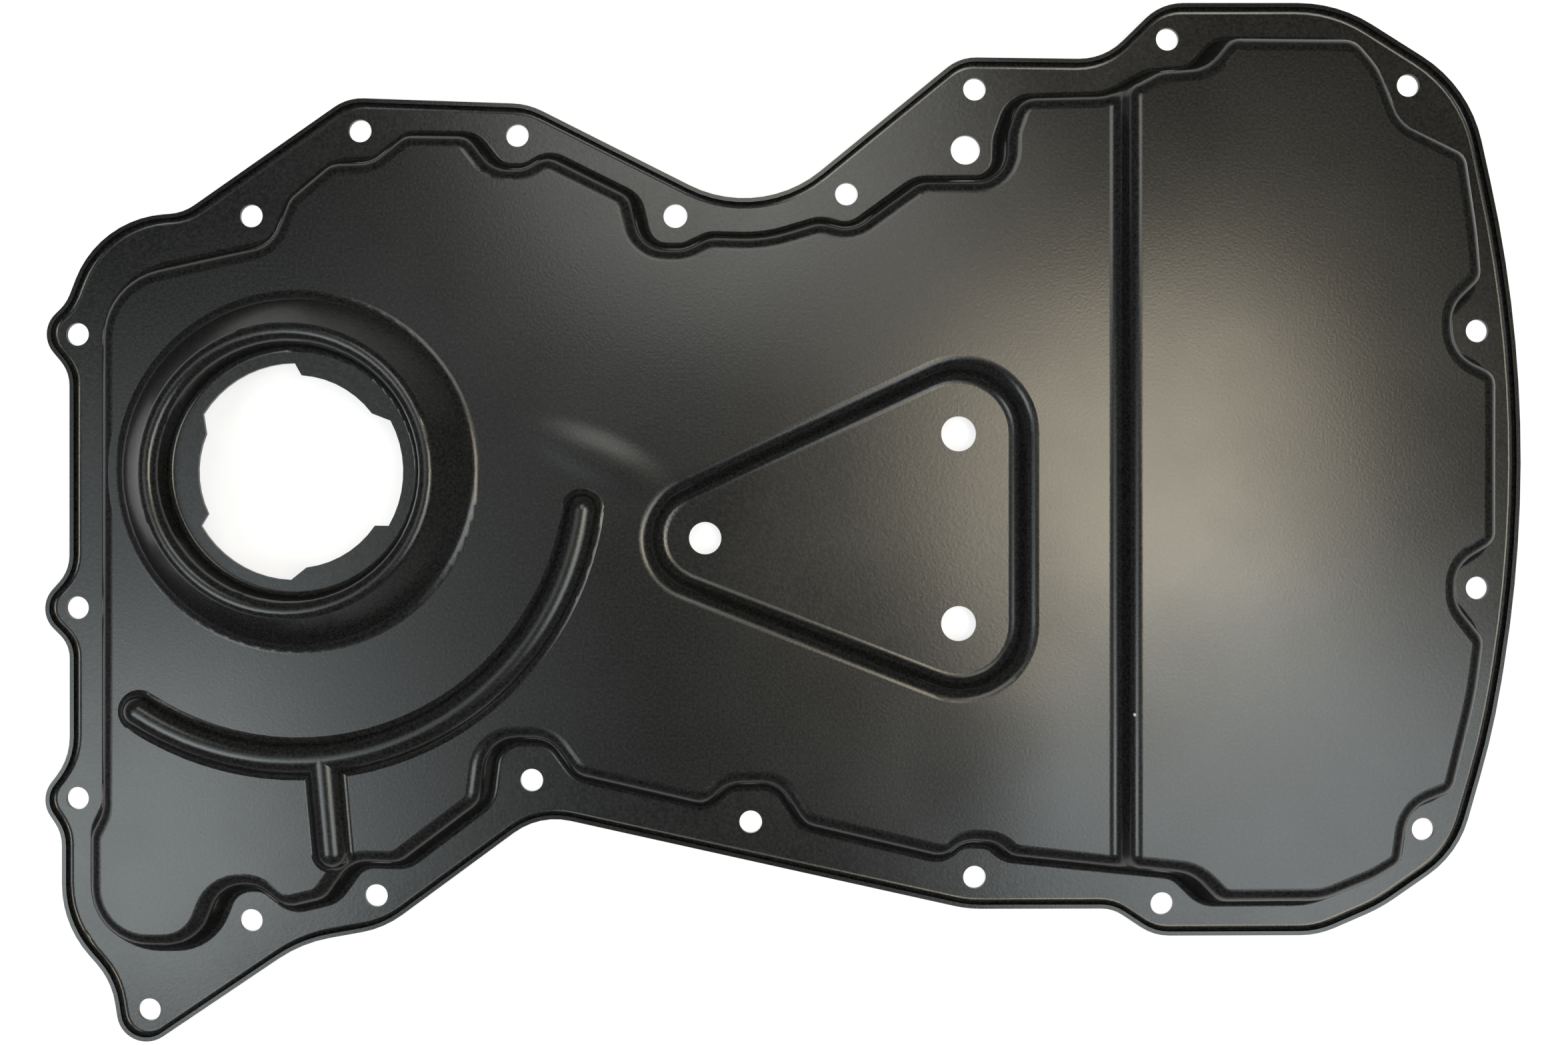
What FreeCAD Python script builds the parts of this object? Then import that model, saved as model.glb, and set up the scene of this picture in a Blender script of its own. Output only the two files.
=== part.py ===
import FreeCAD, Part
import math
import os

os.makedirs("parts", exist_ok=True)

V = FreeCAD.Vector
doc = FreeCAD.newDocument("timing_cover")

# Driving sizes in millimetres and degrees. The frame's origin is the crank axis on the sealing face,
# +X runs towards the cam end and +Z out of the cover.
SIZES = {
    "sheet_gauge": 1.5,
    "lip_height": 4.0,
    "lip_bend": 2.0,
    "panel_height": 14.0,
    "cam_panel_height": 22.0,
    "wall_draft": 14.0,
    "wall_setback": 1.2,
    "foot_bend": 2.5,
    "crest_bend": 6.0,
    "step_foot_x": 299.6,
    "step_slope": 60.0,
    "step_bend": 5.0,
    "ring_crest_radius": 50.4,
    "ring_crest_height": 28.0,
    "ring_crest_bend": 3.8,
    "ring_inner_slope": 78.0,
    "ring_outer_slope": 48.6,
    "ring_foot_bend": 5.0,
    "seat_height": 17.5,
    "seat_bend": 2.0,
    "opening_radius": 39.4,
    "opening_lobe_radius": 35.1,
    "recess_depth": 7.5,
    "recess_slope": 60.0,
    "recess_floor_bend": 4.5,
    "recess_rim_bend": 5.5,
    "recess_left_radius": 14.0,
    "recess_right_radius": 18.5,
    "rib_path_radius": 105.0,
    "rib_section_radius": 6.2,
    "rib_height": 5.0,
    "rib_foot_bend": 2.5,
    "rib_start_angle": -123.5,
    "rib_end_angle": -7.5,
    "spur_angle": -84.8,
    "spur_end_radius": 139.6,
    "bolt_hole": 8.5,
    "dowel_hole": 11.0,
    "inner_bolt_hole": 9.0,
    "pad_hole": 13.0,
    "small_pad_hole": 12.0,
}
sheet = doc.addObject("Spreadsheet::Sheet", "Sizes")
for row, (alias, value) in enumerate(SIZES.items(), start=1):
    sheet.set("A%d" % row, alias.replace("_", " "))
    sheet.set("B%d" % row, str(value))
    sheet.setAlias("B%d" % row, alias)
doc.recompute()


def size(alias):
    return float(sheet.get(alias))


def slope_tan(alias):
    return math.tan(math.radians(size(alias)))


# Outer edge of the lip as corner points (x, y, corner radius), clockwise seen from outside.
RIM = [
    (384, 175, 52), (433, 144, 50), (460.5, 18.7, 480), (442, -95.5, 300), (428.7, -142, 38),
    (400, -162, 60), (376.5, -172.2, 33), (315.4, -172.4, 19), (300.2, -162.3, 14), (246, -162.4, 45),
    (86.7, -127.1, 26), (28.9, -169.6, 36), (-1.7, -175.1, 50), (-67.8, -219.6, 11), (-72.6, -189.2, 29),
    (-91.1, -168.2, 40), (-91.1, -134.2, 15), (-99.7, -121.4, 10.5), (-88.2, -106.5, 24), (-88.2, -64, 12),
    (-101.3, -50.9, 10.5), (-88.3, -36.5, 15), (-88.3, 37.7, 14), (-100.6, 52.4, 10.5), (-89.4, 63.2, 16),
    (-77.4, 94.6, 38), (-46, 96.8, 18), (15.2, 139.7, 18), (82.5, 137.4, 27), (168.7, 94, 45),
    (243.2, 154.8, 17), (296.9, 154.1, 23), (318.2, 175, 20),
]

# Foot of the panel wall on the flange, in the same form and direction.
PANEL = [
    (-76.6, 73.2, 30), (-13.9, 87.1, 8), (-7.5, 103, 11), (9.9, 117.5, 12), (24.5, 117.8, 8),
    (36.8, 127.8, 11), (63.3, 127.4, 11), (72.5, 115.6, 7), (81, 115.4, 7), (90, 120.9, 11),
    (124.2, 104, 11), (128.5, 86, 7), (140, 85.8, 8), (149.5, 90.3, 12), (170, 89.7, 50),
    (191.1, 96, 12), (202, 93.2, 8), (226.4, 110.9, 14), (255.5, 111, 7), (256, 125.5, 15),
    (261.5, 141.3, 12), (297, 142.2, 22), (312.5, 150.6, 14), (328.4, 151.9, 8), (337.5, 162.7, 12),
    (387.3, 162.2, 14), (398.5, 149.2, 30), (405.8, 130.8, 8), (430, 118.6, 12), (434.6, 88, 150),
    (436.4, 68, 12), (425.6, 57.2, 7), (425.9, 46.6, 8), (441.3, 38.9, 12), (441.2, -28.6, 12),
    (427, -37.6, 7), (427, -45.9, 7), (437.3, -59, 12), (434.3, -82, 150), (425, -120.2, 12),
    (409.3, -126.5, 8), (406.6, -145.5, 12), (394.5, -152.9, 50), (374, -161.3, 30), (333.4, -161.6, 13),
    (323, -151.4, 9), (259.5, -145, 12), (254, -140, 7), (245, -139.7, 7), (238, -146, 12),
    (183, -133, 12), (173.3, -118.2, 7), (159, -118.5, 7), (150, -126.6, 12), (99, -114.8, 12),
    (89.5, -101.8, 8), (72.3, -101.8, 8), (69.5, -123.6, 12), (37.5, -147.7, 12), (20.5, -147.2, 8),
    (11.2, -160.4, 12), (-6.5, -164.6, 12), (-17.5, -155.9, 8), (-27, -156.2, 8), (-35.5, -178.0, 20),
    (-80.9, -178.3, 26), (-80.9, -132.3, 11), (-76.7, -123.6, 8),
]

# Centres of the holes: round the flange, and in the floor of the recess.
BOLT_HOLES = [
    (321.1, 162.3), (411.2, 145.0), (249.0, 143.6), (19.2, 128.0), (78.0, 126.3), (201.1, 104.4),
    (-21.5, 96.2), (437.0, 53.2), (-86.5, 51.9), (437.0, -43.0), (-86.5, -50.4), (83.4, -114.9),
    (-86.5, -121.7), (165.3, -130.5), (416.8, -133.3), (249.0, -151.2), (25.3, -158.1),
    (319.1, -161.1), (-21.5, -167.4), (-59.6, -200.8),
]
DOWEL_HOLE = (245.6, 120.9)
INNER_BOLT_HOLE = (137.1, 96.2)
SMALL_PAD_HOLE = (148.5, -24.3)
PAD_HOLES = [(242.5, 14.4), (242.5, -56.0)]

# The crank opening repeats three times round the axis: a wide arc, then a narrower one (degrees).
OPENING_REPEATS = 3
OPENING_WIDE_ARC = (-30.0, 28.0)
OPENING_NARROW_ARC = (37.0, 86.0)


def inset(corners, distance):
    """Move a clockwise outline inward, with its round corners kept concentric."""
    moved = []
    count = len(corners)
    for i in range(count):
        x0, y0, _ = corners[i - 1]
        x1, y1, radius = corners[i]
        x2, y2, _ = corners[(i + 1) % count]
        a = V(x1 - x0, y1 - y0, 0).normalize()
        b = V(x2 - x1, y2 - y1, 0).normalize()
        turn = a.x * b.y - a.y * b.x
        normal_a = V(a.y, -a.x, 0)
        normal_b = V(b.y, -b.x, 0)
        mitre = (normal_a + normal_b) * (distance / (1 + normal_a.dot(normal_b)))
        moved.append((x1 + mitre.x, y1 + mitre.y, radius - distance if turn < 0 else radius + distance))
    return moved


def corner_arc(previous, corner, following):
    """Start, middle and end of the arc that rounds a corner (x, y, radius)."""
    p = V(corner[0], corner[1], 0)
    a = (V(previous[0], previous[1], 0) - p).normalize()
    b = (V(following[0], following[1], 0) - p).normalize()
    radius = corner[2]
    half = a.getAngle(b) / 2
    reach = radius / math.tan(half)
    middle = p + (a + b).normalize() * (radius / math.sin(half) - radius)
    return p + a * reach, middle, p + b * reach


def rounded(corners):
    """Lines and arcs round a closed list of corners."""
    arcs = [corner_arc(corners[i - 1], corners[i], corners[(i + 1) % len(corners)])
            for i in range(len(corners))]
    pieces = []
    for i, (start, middle, end) in enumerate(arcs):
        pieces.append(Part.Arc(start, middle, end))
        pieces.append(Part.LineSegment(end, arcs[(i + 1) % len(arcs)][0]))
    return pieces


def bent(points):
    """An open line through points (x, y, bend radius), with its bends as arcs."""
    pieces = []
    start = V(points[0][0], points[0][1], 0)
    for previous, corner, following in zip(points, points[1:], points[2:]):
        bend_start, middle, bend_end = corner_arc(previous, corner, following)
        pieces.append(Part.LineSegment(start, bend_start))
        pieces.append(Part.Arc(bend_start, middle, bend_end))
        start = bend_end
    pieces.append(Part.LineSegment(start, V(points[-1][0], points[-1][1], 0)))
    return pieces


def offset_bends(points, distance):
    """The same bent line moved to its right by a distance, with its bends concentric."""
    moved = []
    for i, (x, y, radius) in enumerate(points):
        p = V(x, y, 0)
        normals = []
        turn = 0
        if i > 0:
            a = (p - V(points[i - 1][0], points[i - 1][1], 0)).normalize()
            normals.append(V(a.y, -a.x, 0))
        if i < len(points) - 1:
            b = (V(points[i + 1][0], points[i + 1][1], 0) - p).normalize()
            normals.append(V(b.y, -b.x, 0))
        if len(normals) == 2:
            turn = a.x * b.y - a.y * b.x
            shift = (normals[0] + normals[1]) * (distance / (1 + normals[0].dot(normals[1])))
        else:
            shift = normals[0] * distance
        radius = radius and (radius - distance if turn < 0 else radius + distance)
        moved.append((x + shift.x, y + shift.y, radius))
    return moved


def closed_at(points, level):
    """A bent line closed by going round through a level above or below it."""
    first = V(points[0][0], points[0][1], 0)
    last = V(points[-1][0], points[-1][1], 0)
    corner_a = V(last.x, level, 0)
    corner_b = V(first.x, level, 0)
    return bent(points) + [Part.LineSegment(last, corner_a), Part.LineSegment(corner_a, corner_b),
                           Part.LineSegment(corner_b, first)]


def step_profile(skin):
    """Section of the panel's top along X: main panel, step, cam-side panel."""
    low = size("panel_height")
    high = size("cam_panel_height")
    foot = size("step_foot_x")
    run = (high - low) / slope_tan("step_slope")
    bend = size("step_bend")
    past_the_ends = 2 * size("step_foot_x")
    return offset_bends([(foot - past_the_ends, low, 0), (foot, low, bend), (foot + run, high, bend),
                         (foot + past_the_ends, high, 0)], skin)


def ring_profile(skin):
    """Section of the seat and the raised ring along their radius, from the crank axis outward."""
    panel = size("panel_height")
    seat = size("seat_height")
    bend = size("ring_crest_bend")
    inner = math.radians(size("ring_inner_slope"))
    outer = math.radians(size("ring_outer_slope"))
    # Both slopes are tangent to the crest's round, whose top is at the crest's radius and height.
    centre_r = size("ring_crest_radius")
    centre_z = size("ring_crest_height") - bend
    inner_r = centre_r - bend * math.sin(inner)
    inner_z = centre_z + bend * math.cos(inner)
    outer_r = centre_r + bend * math.sin(outer)
    outer_z = centre_z + bend * math.cos(outer)
    seat_edge = inner_r - (inner_z - seat) / math.tan(inner)
    foot = outer_r + (outer_z - panel) / math.tan(outer)
    apex_r = (outer_z - inner_z + math.tan(outer) * outer_r + math.tan(inner) * inner_r) \
        / (math.tan(inner) + math.tan(outer))
    apex_z = inner_z + math.tan(inner) * (apex_r - inner_r)
    foot_bend = size("ring_foot_bend")
    return offset_bends([(0, seat, 0), (seat_edge, seat, size("seat_bend")), (apex_r, apex_z, bend),
                         (foot, panel, foot_bend), (foot + foot_bend, panel, 0)], skin)


def recess_outline(skin):
    """Floor of the three-hole recess: the tangents round one circle at each hole."""
    floor_edge = (size("recess_floor_bend") + skin) * math.tan(math.radians(size("recess_slope") / 2))
    left = size("recess_left_radius") + floor_edge
    right = size("recess_right_radius") + floor_edge
    circles = [(SMALL_PAD_HOLE, left), (PAD_HOLES[0], right), (PAD_HOLES[1], right)]
    lines = []
    for i, ((x0, y0), r0) in enumerate(circles):
        (x1, y1), r1 = circles[(i + 1) % len(circles)]
        lean = math.asin((r1 - r0) / math.hypot(x1 - x0, y1 - y0))
        heading = math.atan2(y1 - y0, x1 - x0) + lean
        lines.append((x0 - r0 * math.sin(heading), y0 + r0 * math.cos(heading), heading))
    corners = []
    for i, (x1, y1, h1) in enumerate(lines):
        x0, y0, h0 = lines[i - 1]
        along = ((x1 - x0) * math.sin(h1) - (y1 - y0) * math.cos(h1)) / math.sin(h1 - h0)
        corners.append((x0 + along * math.cos(h0), y0 + along * math.sin(h0), circles[i][1]))
    return corners


def crank_opening():
    """Wide and narrow arcs about the crank axis, joined by short straight steps."""
    def at(radius, degrees):
        return V(radius * math.cos(math.radians(degrees)), radius * math.sin(math.radians(degrees)), 0)

    arcs = []
    for turn in range(OPENING_REPEATS):
        shift = turn * 360.0 / OPENING_REPEATS
        for radius, (start, end) in ((size("opening_radius"), OPENING_WIDE_ARC),
                                     (size("opening_lobe_radius"), OPENING_NARROW_ARC)):
            arcs.append([at(radius, shift + angle) for angle in (start, (start + end) / 2, end)])
    pieces = []
    for i, (start, middle, end) in enumerate(arcs):
        pieces.append(Part.Arc(start, middle, end))
        pieces.append(Part.LineSegment(end, arcs[(i + 1) % len(arcs)][0]))
    return pieces


def up(face):
    """How far a face looks upward at its middle: 1 for a level face, 0 for an upright one."""
    u0, u1, v0, v1 = face.ParameterRange
    return face.normalAt((u0 + u1) / 2, (v0 + v1) / 2).z


def is_upright(face):
    return abs(up(face)) < 0.1


def is_level_at(z):
    """A test for level faces at one height."""
    return lambda face: abs(up(face)) > 0.99 and abs(face.BoundBox.ZMax - z) < 0.01


def leans_by(angle):
    """A test for faces that lean from upright by an angle in degrees."""
    return lambda face: abs(abs(up(face)) - math.sin(math.radians(angle))) < 0.03


def edges_between(shape, first, second):
    """Names of the edges that join a face that passes one test to a face that passes the other."""
    of_first = {edge.hashCode() for face in shape.Faces if first(face) for edge in face.Edges}
    of_second = {edge.hashCode() for face in shape.Faces if second(face) for edge in face.Edges}
    both = of_first & of_second
    return ["Edge%d" % (i + 1) for i, edge in enumerate(shape.Edges) if edge.hashCode() in both]


def add_feature(body, kind, name):
    """A new feature that keeps its faces as built, which is quicker on a form with this many."""
    feature = body.newObject("PartDesign::" + kind, name)
    feature.Refine = False
    return feature


def origin_plane(body, role):
    return [item for item in body.Origin.OriginFeatures if item.Role == role][0]


def add_sketch(body, name, geometry, role="XY_Plane", lift=None):
    """A sketch on one of the body's own origin planes, moved along the plane's normal by an expression."""
    sketch = body.newObject("Sketcher::SketchObject", name)
    sketch.AttachmentSupport = (origin_plane(body, role), [""])
    sketch.MapMode = "FlatFace"
    if lift:
        sketch.setExpression("AttachmentOffset.Base.z", lift)
    sketch.addGeometry(geometry, False)
    doc.recompute()
    return sketch


def add_pocket_upward(body, name, sketch, length=None):
    """Cut upward from a sketch, by an expression's length or through all."""
    pocket = add_feature(body, "Pocket", name)
    pocket.Profile = sketch
    pocket.Reversed = True
    if length:
        pocket.setExpression("Length", length)
    else:
        pocket.Type = "ThroughAll"
    doc.recompute()
    return pocket


def add_fillet(body, name, base, edges, radius):
    fillet = add_feature(body, "Fillet", name)
    fillet.Base = (base, edges)
    fillet.setExpression("Radius", radius)
    doc.recompute()
    return fillet


def add_draft(body, name, base, is_drafted, angle, plane):
    """Lean the faces that pass a test, about a plane, by an expression's angle."""
    faces = ["Face%d" % (i + 1) for i, face in enumerate(base.Shape.Faces) if is_drafted(face)]
    draft = add_feature(body, "Draft", name)
    draft.Base = (base, faces)
    draft.NeutralPlane = (plane, [""])
    draft.setExpression("Angle", angle)
    doc.recompute()
    return draft


def build_flange():
    """The flat flange with its turned-up lip, before the panel is raised from it."""
    body = doc.addObject("PartDesign::Body", "flange")
    outline = add_sketch(body, "rim_outline", rounded(RIM))
    tray = add_feature(body, "Pad", "tray")
    tray.Profile = outline
    tray.setExpression("Length", "Sizes.lip_height")
    doc.recompute()
    inner_outline = add_sketch(body, "inner_rim_outline", rounded(inset(RIM, size("sheet_gauge"))),
                               lift="Sizes.sheet_gauge")
    hollow = add_pocket_upward(body, "tray_hollow", inner_outline, "Sizes.lip_height")
    inner_corner = edges_between(hollow.Shape, is_upright, is_level_at(size("sheet_gauge")))
    inner_bend = add_fillet(body, "lip_inner_bend", hollow, inner_corner, "Sizes.lip_bend")
    outer_corner = edges_between(inner_bend.Shape, is_upright, is_level_at(0))
    add_fillet(body, "lip_outer_bend", inner_bend, outer_corner, "Sizes.lip_bend + Sizes.sheet_gauge")
    return body


def add_panel(body, name, skin):
    """The panel's stepped block, with leaning walls and a round crest."""
    draft = math.radians(size("wall_draft"))
    # The wall's foot is set on the flange's top face and carried down to the sealing face.
    setback = size("wall_setback") - size("sheet_gauge") * math.tan(draft) + skin / math.cos(draft)
    outline = add_sketch(body, name + "_outline", rounded(inset(PANEL, setback)))
    block = add_feature(body, "Pad", name + "_block")
    block.Profile = outline
    block.setExpression("Length", "Sizes.cam_panel_height + 1")
    doc.recompute()
    drafted = add_draft(body, name + "_draft", block, is_upright, "Sizes.wall_draft",
                        origin_plane(body, "XY_Plane"))
    above = 2 * size("cam_panel_height")
    section = add_sketch(body, name + "_step", closed_at(step_profile(skin), above), "XZ_Plane")
    top = add_feature(body, "Pocket", name + "_top")
    top.Profile = section
    top.Midplane = True
    top.Type = "ThroughAll"
    doc.recompute()
    is_wall = leans_by(size("wall_draft"))
    crest = edges_between(top.Shape, is_wall, lambda face: up(face) > 0.45)
    return add_fillet(body, name + "_crest", top, crest, "Sizes.crest_bend - %s" % skin)


def add_ring(body, name, skin):
    """The level seat round the crank opening, with the raised ring about it."""
    below = size("panel_height") / 4
    section = add_sketch(body, name + "_ring_section", closed_at(ring_profile(skin), below), "XZ_Plane")
    ring = add_feature(body, "Revolution", name + "_ring")
    ring.Profile = section
    ring.ReferenceAxis = (section, ["V_Axis"])
    ring.Angle = 360
    # The panel round the ring becomes one face again, so that the recess can be drafted in it.
    ring.Refine = True
    doc.recompute()
    return ring


def add_recess(body, name, skin):
    """The recess of the three-hole pad, sunk in the main panel, with both its bends."""
    floor_level = "Sizes.panel_height - Sizes.recess_depth - %s" % skin
    floor_z = size("panel_height") - size("recess_depth") - skin
    floor_plane = body.newObject("PartDesign::Plane", name + "_floor_plane")
    floor_plane.AttachmentSupport = (origin_plane(body, "XY_Plane"), [""])
    floor_plane.MapMode = "FlatFace"
    floor_plane.setExpression("AttachmentOffset.Base.z", floor_level)
    outline = add_sketch(body, name + "_recess_outline", rounded(recess_outline(skin)), lift=floor_level)
    recess = add_pocket_upward(body, name + "_recess", outline, "Sizes.recess_depth + 2")
    area = outline.Shape.BoundBox
    area.enlarge(2 * size("recess_depth"))

    def is_side(face):
        return is_upright(face) and area.isInside(face.CenterOfMass)

    def is_slope(face):
        return leans_by(90 - size("recess_slope"))(face) and area.isInside(face.CenterOfMass)

    sloped = add_draft(body, name + "_recess_slope", recess, is_side, "90 - Sizes.recess_slope", floor_plane)
    floor_edges = edges_between(sloped.Shape, is_slope, is_level_at(floor_z))
    floor_bend = add_fillet(body, name + "_recess_floor_bend", sloped, floor_edges,
                            "Sizes.recess_floor_bend + %s" % skin)
    rim_edges = edges_between(floor_bend.Shape, is_slope, is_level_at(size("panel_height") - skin))
    add_fillet(body, name + "_recess_rim_bend", floor_bend, rim_edges, "Sizes.recess_rim_bend - %s" % skin)


def add_ribs(body, name, skin):
    """Two stiffening ribs of round section: an arc about the crank axis and a short radial spur."""
    section = "Sizes.rib_section_radius - %s" % skin
    section_radius = size("rib_section_radius") - skin
    centre_z = size("panel_height") + size("rib_height") - size("rib_section_radius")
    path = size("rib_path_radius")
    start = size("rib_start_angle")
    end = size("rib_end_angle")

    def at(radius, degrees):
        angle = math.radians(degrees)
        return V(radius * math.cos(angle), radius * math.sin(angle), centre_z)

    def add_end(tag, place):
        dome = add_feature(body, "AdditiveSphere", name + tag)
        dome.setExpression("Radius", section)
        dome.Placement.Base = place
        doc.recompute()
        return dome

    arc = add_feature(body, "AdditiveTorus", name + "_rib")
    arc.setExpression("Radius1", "Sizes.rib_path_radius")
    arc.setExpression("Radius2", section)
    arc.setExpression("Angle3", "Sizes.rib_end_angle - Sizes.rib_start_angle")
    arc.Placement = FreeCAD.Placement(V(0, 0, centre_z), FreeCAD.Rotation(V(0, 0, 1), start))
    doc.recompute()
    add_end("_rib_start", at(path, start))
    add_end("_rib_end", at(path, end))
    spur_start = at(path, size("spur_angle"))
    spur_end = at(size("spur_end_radius"), size("spur_angle"))
    spur = add_feature(body, "AdditiveCylinder", name + "_spur")
    spur.setExpression("Radius", section)
    spur.setExpression("Height", "Sizes.spur_end_radius - Sizes.rib_path_radius")
    spur.Placement = FreeCAD.Placement(spur_start, FreeCAD.Rotation(V(0, 0, 1), spur_end - spur_start))
    doc.recompute()
    ribs = add_end("_spur_end", spur_end)

    def is_rib(face):
        surface = face.Surface
        radius = getattr(surface, "MinorRadius", getattr(surface, "Radius", 0))
        return abs(radius - section_radius) < 0.01 and face.BoundBox.ZMax < centre_z + section_radius + 0.01

    feet = edges_between(ribs.Shape, is_rib, is_level_at(size("panel_height") - skin))
    add_fillet(body, name + "_rib_feet", ribs, feet, "Sizes.rib_foot_bend + %s" % skin)


def build_pressing(name, skin):
    """All that is drawn up out of the flange, with its surface set in from the outside by a skin."""
    body = doc.addObject("PartDesign::Body", name)
    add_panel(body, name, skin)
    add_ring(body, name, skin)
    add_recess(body, name, skin)
    add_ribs(body, name, skin)
    return body


def build_cover():
    """The one sheet: flange and pressing joined, hollowed by its gauge, bent at the foot, then pierced."""
    joined = doc.addObject("Part::Fuse", "joined")
    joined.Base = build_flange()
    joined.Tool = build_pressing("outside", 0.0)
    hollowed = doc.addObject("Part::Cut", "hollowed")
    hollowed.Base = joined
    hollowed.Tool = build_pressing("inside", size("sheet_gauge"))
    doc.recompute()
    body = doc.addObject("PartDesign::Body", "cover")
    body.Label = "timing_cover"
    body.BaseFeature = hollowed
    doc.recompute()
    is_wall = leans_by(size("wall_draft"))
    feet = edges_between(body.Tip.Shape, is_wall, is_level_at(size("sheet_gauge")))
    outer_foot = add_fillet(body, "outer_foot_bend", body.Tip, feet, "Sizes.foot_bend")
    feet = edges_between(outer_foot.Shape, is_wall, is_level_at(0))
    add_fillet(body, "inner_foot_bend", outer_foot, feet, "Sizes.foot_bend + Sizes.sheet_gauge")

    def circles(places, alias):
        return [Part.Circle(V(x, y, 0), V(0, 0, 1), size(alias) / 2) for x, y in places]

    flange_holes = circles(BOLT_HOLES, "bolt_hole") + circles([DOWEL_HOLE], "dowel_hole") \
        + circles([INNER_BOLT_HOLE], "inner_bolt_hole")
    add_pocket_upward(body, "flange_holes", add_sketch(body, "flange_hole_places", flange_holes))
    pad_holes = circles(PAD_HOLES, "pad_hole") + circles([SMALL_PAD_HOLE], "small_pad_hole")
    add_pocket_upward(body, "pad_holes", add_sketch(body, "pad_hole_places", pad_holes))
    add_pocket_upward(body, "crank_opening", add_sketch(body, "crank_opening_outline", crank_opening()))
    return body


cover = build_cover()

for item in doc.Objects:
    if "Invalid" in item.State or "Error" in item.State:
        raise RuntimeError("%s is %s" % (item.Name, item.State))
if cover.Shape.isNull() or not cover.Shape.isValid() or len(cover.Shape.Solids) != 1:
    raise RuntimeError("The cover is not one valid solid")

cover.Shape.exportStep("parts/%s.step" % cover.Label)
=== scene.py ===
import bpy
import math
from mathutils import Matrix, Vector


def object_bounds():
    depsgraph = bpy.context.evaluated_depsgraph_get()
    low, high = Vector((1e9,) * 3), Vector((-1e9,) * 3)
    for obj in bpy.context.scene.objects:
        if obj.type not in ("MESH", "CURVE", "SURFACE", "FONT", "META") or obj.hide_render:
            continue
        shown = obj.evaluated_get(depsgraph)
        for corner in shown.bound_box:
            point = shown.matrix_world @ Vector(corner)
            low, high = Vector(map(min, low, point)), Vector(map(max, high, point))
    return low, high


# The timing cover is one sheet of steel, drawn, trimmed and pierced in a press tool. It comes in
# whole from the frame, as the one node timing_cover, with its bends and holes already in it.
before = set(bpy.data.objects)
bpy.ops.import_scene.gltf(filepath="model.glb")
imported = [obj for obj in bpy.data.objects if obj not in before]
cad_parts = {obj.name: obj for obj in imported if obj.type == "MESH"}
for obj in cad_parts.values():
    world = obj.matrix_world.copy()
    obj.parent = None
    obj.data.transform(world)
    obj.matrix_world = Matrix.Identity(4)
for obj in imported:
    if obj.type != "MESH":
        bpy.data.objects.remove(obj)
loaded = [list(corner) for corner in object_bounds()]
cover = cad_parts["timing_cover"]

# The finish is a black electrocoat: a thin dark film that flows over the steel as it is baked. It is
# satin and almost colourless, with a fine grain, and its sheen is a little cloudy.
COAT_DARK = (0.0, 0.0, 0.0, 1)
COAT_LIGHT = (0.0190, 0.0192, 0.0188, 1)
COAT_ROUGHNESS = (0.225, 0.265)
CLOUDS_PER_METRE = 16.0
CLOUD_NOISE_USED = (0.35, 0.65)
GRAIN_PER_METRE = 1000.0
GRAIN_NOISE_USED = (0.3, 0.7)
GRAIN_DEPTH = 0.000025
black_coat = bpy.data.materials.new("black_coat")
black_coat.use_nodes = True
coat_nodes = black_coat.node_tree.nodes
coat_links = black_coat.node_tree.links
film = coat_nodes["Principled BSDF"]
place = coat_nodes.new("ShaderNodeTexCoord")


def film_noise(per_metre, detail):
    """Noise over the sheet, with so many features to the metre."""
    noise = coat_nodes.new("ShaderNodeTexNoise")
    noise.inputs["Scale"].default_value = per_metre
    noise.inputs["Detail"].default_value = detail
    coat_links.new(place.outputs["Object"], noise.inputs["Vector"])
    return noise.outputs["Fac"]


def film_range(value, used, result):
    """Stretch the used part of a value to the result's range, and hold it there."""
    stretch = coat_nodes.new("ShaderNodeMapRange")
    stretch.inputs["From Min"].default_value = used[0]
    stretch.inputs["From Max"].default_value = used[1]
    stretch.inputs["To Min"].default_value = result[0]
    stretch.inputs["To Max"].default_value = result[1]
    coat_links.new(value, stretch.inputs["Value"])
    return stretch.outputs["Result"]


def film_mix(share, under, over_colour):
    """Lay a plain colour over a colour or a node's colour, by a share. Its sockets go by number."""
    mix = coat_nodes.new("ShaderNodeMix")
    mix.data_type = "RGBA"
    coat_links.new(share, mix.inputs[0])
    if isinstance(under, tuple):
        mix.inputs[6].default_value = under
    else:
        coat_links.new(under, mix.inputs[6])
    mix.inputs[7].default_value = over_colour
    return mix.outputs[2]


def film_relief(height, depth, under=None):
    """Raise the film by a height times a depth in metres, on top of the relief under it."""
    relief = coat_nodes.new("ShaderNodeBump")
    relief.inputs["Strength"].default_value = 1.0
    relief.inputs["Distance"].default_value = depth
    coat_links.new(height, relief.inputs["Height"])
    if under:
        coat_links.new(under, relief.inputs["Normal"])
    return relief.outputs["Normal"]


grain = film_noise(GRAIN_PER_METRE, detail=3.0)
tone = film_mix(film_range(grain, GRAIN_NOISE_USED, (0.0, 1.0)), COAT_DARK, COAT_LIGHT)
clouds = film_noise(CLOUDS_PER_METRE, detail=3.0)
coat_links.new(film_range(clouds, CLOUD_NOISE_USED, COAT_ROUGHNESS), film.inputs["Roughness"])
cover.data.materials.clear()
cover.data.materials.append(black_coat)

# No drawn panel comes out of the tool quite flat. Shallow waves run through this one, and two soft
# swells stand in it: beyond the tip of the curved rib, and below the three-hole pad.
WAVES_PER_METRE = 9.0
WAVE_DEPTH = 0.0005
SWELL_DEPTH = 0.0008


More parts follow.
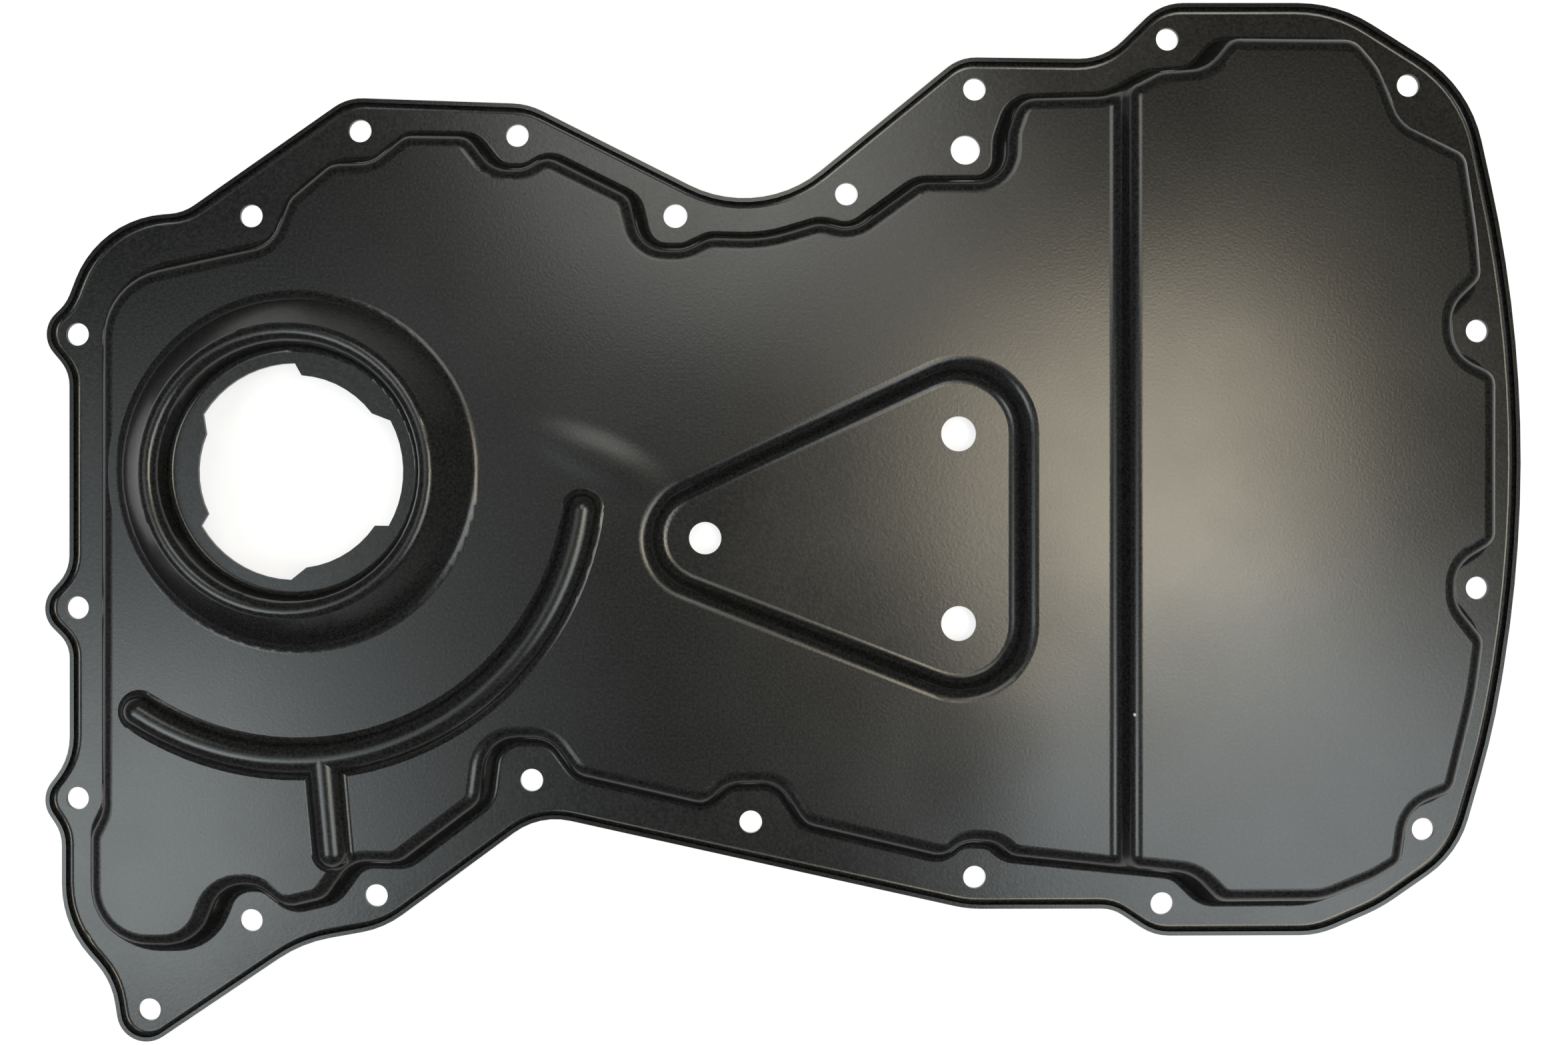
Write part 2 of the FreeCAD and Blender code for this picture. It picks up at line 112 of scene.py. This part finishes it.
def swell(x, y, turn_degrees, half_length, half_width, share):
    """Height of one long soft swell in the sheet, as a share of the deepest."""
    spot = coat_nodes.new("ShaderNodeMapping")
    spot.vector_type = "TEXTURE"
    spot.inputs["Location"].default_value = (x, y, 0.0)
    spot.inputs["Rotation"].default_value = (0.0, 0.0, math.radians(turn_degrees))
    spot.inputs["Scale"].default_value = (half_length, half_width, 1.0)
    coat_links.new(place.outputs["Object"], spot.inputs["Vector"])
    dome = coat_nodes.new("ShaderNodeTexGradient")
    dome.gradient_type = "SPHERICAL"
    coat_links.new(spot.outputs["Vector"], dome.inputs["Vector"])
    blend = coat_nodes.new("ShaderNodeMapRange")
    blend.interpolation_type = "SMOOTHERSTEP"
    blend.inputs["To Max"].default_value = share
    coat_links.new(dome.outputs["Fac"], blend.inputs["Value"])
    return blend.outputs["Result"]


beyond_rib = swell(x=0.109, y=0.005, turn_degrees=-22.0, half_length=0.036, half_width=0.013, share=0.75)
below_pad = swell(x=0.262, y=-0.100, turn_degrees=60.0, half_length=0.050, half_width=0.045, share=0.6)
relief = film_relief(film_noise(WAVES_PER_METRE, detail=1.0), WAVE_DEPTH)
relief = film_relief(beyond_rib, SWELL_DEPTH, relief)
relief = film_relief(below_pad, SWELL_DEPTH, relief)
relief = film_relief(grain, GRAIN_DEPTH, relief)
coat_links.new(relief, film.inputs["Normal"])

# One pale fleck of dust is caught on the coat, at the top of the step toward the cover's foot.
# It is less than a millimetre and a half across.
FLECK_PLACE = (0.3043, -0.0879, 0.0211)
FLECK_RADIUS = 0.0007
FLECK_COLOUR = (0.75, 0.75, 0.72, 1)
reach = coat_nodes.new("ShaderNodeVectorMath")
reach.operation = "DISTANCE"
reach.inputs[1].default_value = FLECK_PLACE
coat_links.new(place.outputs["Object"], reach.inputs[0])
speck = film_range(reach.outputs["Value"], (FLECK_RADIUS, FLECK_RADIUS / 2), (0.0, 1.0))
coat_links.new(film_mix(speck, tone, FLECK_COLOUR), film.inputs["Base Color"])

# The cover lies face up on a plain pale floor. Lit by the lamps, the floor shows as white to the camera
# and in reflections, and it still darkens a little where the sheet shades it.
FLOOR_SIZE = 40.0
FLOOR_DROP = 0.0002
FLOOR_PAINT = (0.4, 0.4, 0.4, 1)
FLOOR_SHOWN_GLOW = 0.75
bpy.ops.mesh.primitive_plane_add(size=FLOOR_SIZE, location=(0.0, 0.0, -FLOOR_DROP))
floor = bpy.context.object
floor.name = "floor"
floor_white = bpy.data.materials.new("floor_white")
floor_white.use_nodes = True
floor_nodes = floor_white.node_tree.nodes
floor_links = floor_white.node_tree.links
paint = floor_nodes["Principled BSDF"]
paint.inputs["Base Color"].default_value = FLOOR_PAINT
paint.inputs["Roughness"].default_value = 1.0
paint.inputs["Specular IOR Level"].default_value = 0.0
paint.inputs["Emission Color"].default_value = (1, 1, 1, 1)
ray = floor_nodes.new("ShaderNodeLightPath")
shown = ray.outputs["Is Camera Ray"]
for kind in ("Is Glossy Ray", "Is Transmission Ray"):
    either = floor_nodes.new("ShaderNodeMath")
    either.operation = "MAXIMUM"
    floor_links.new(shown, either.inputs[0])
    floor_links.new(ray.outputs[kind], either.inputs[1])
    shown = either.outputs[0]
glow = floor_nodes.new("ShaderNodeMath")
glow.operation = "MULTIPLY"
glow.inputs[1].default_value = FLOOR_SHOWN_GLOW
floor_links.new(shown, glow.inputs[0])
floor_links.new(glow.outputs[0], paint.inputs["Emission Strength"])
floor.data.materials.append(floor_white)

# Five square soft lamps hang over the cover and face its middle. Their mirror images in the satin film
# make its broad sheens: warm on the cam-side panel, cool along the foot and the left edge.
LAMP_HEIGHT = 1.5
WARM = (1.0, 0.9, 0.7)
COOL = (0.9, 0.98, 1.0)
SOFT_WHITE = (1.0, 1.0, 0.95)
MIDDLE = Vector([(low + high) / 2 for low, high in zip(*loaded)])


def soft_lamp(name, x, y, width, watts, colour):
    """A square lamp, so wide, over a place on the floor."""
    data = bpy.data.lights.new(name, "AREA")
    data.size = width
    data.energy = watts
    data.color = colour
    lamp = bpy.data.objects.new(name, data)
    lamp.location = (x, y, LAMP_HEIGHT)
    lamp.rotation_euler = (MIDDLE - lamp.location).to_track_quat("-Z", "Y").to_euler()
    bpy.context.scene.collection.objects.link(lamp)


soft_lamp("warm_lamp", x=0.65, y=0.05, width=0.45, watts=7.0, colour=WARM)
soft_lamp("foot_lamp", x=0.85, y=-0.45, width=0.65, watts=7.0, colour=COOL)
soft_lamp("left_lamp", x=-0.70, y=-0.25, width=0.90, watts=3.5, colour=COOL)
soft_lamp("corner_lamp", x=-0.75, y=-0.50, width=0.55, watts=4.5, colour=COOL)
soft_lamp("top_lamp", x=0.10, y=0.55, width=0.55, watts=4.0, colour=SOFT_WHITE)

# The room round the lamps is dim overhead, where the sheet's flats mirror it. It is a little lighter low
# down, so that the walls and the lip show too.
ROOM_LOW = 0.2
ROOM_OVERHEAD = 0.08
RISE_WHERE_LOW_ENDS = 0.1
RISE_WHERE_OVERHEAD_STARTS = 0.7
room = bpy.data.worlds.new("room")
room.use_nodes = True
room_nodes = room.node_tree.nodes
room_links = room.node_tree.links
direction = room_nodes.new("ShaderNodeTexCoord")
height = room_nodes.new("ShaderNodeSeparateXYZ")
room_links.new(direction.outputs["Generated"], height.inputs["Vector"])
fade = room_nodes.new("ShaderNodeMapRange")
fade.inputs["From Min"].default_value = RISE_WHERE_LOW_ENDS
fade.inputs["From Max"].default_value = RISE_WHERE_OVERHEAD_STARTS
fade.inputs["To Min"].default_value = ROOM_LOW
fade.inputs["To Max"].default_value = ROOM_OVERHEAD
room_links.new(height.outputs["Z"], fade.inputs["Value"])
room_nodes["Background"].inputs["Color"].default_value = (1.0, 1.0, 1.0, 1)
room_links.new(fade.outputs["Result"], room_nodes["Background"].inputs["Strength"])
bpy.context.scene.world = room
bpy.context.scene.view_settings.view_transform = "Standard"

# The photograph looks straight down on the cover, so near that the raised ring and panels lean
# outward. The camera stands over the middle of the picture, and the view is as wide as the photograph.
CAMERA_X = 0.17775
CAMERA_Y = -0.0185
CAMERA_HEIGHT = 0.560
SENSOR_WIDTH_MM = 36.0
VIEW_WIDTH_AT_FLANGE = 0.588
camera_data = bpy.data.cameras.new("camera")
camera_data.sensor_width = SENSOR_WIDTH_MM
camera_data.lens = SENSOR_WIDTH_MM * CAMERA_HEIGHT / VIEW_WIDTH_AT_FLANGE
camera = bpy.data.objects.new("camera", camera_data)
camera.location = (CAMERA_X, CAMERA_Y, CAMERA_HEIGHT)
bpy.context.scene.collection.objects.link(camera)
bpy.context.scene.camera = camera
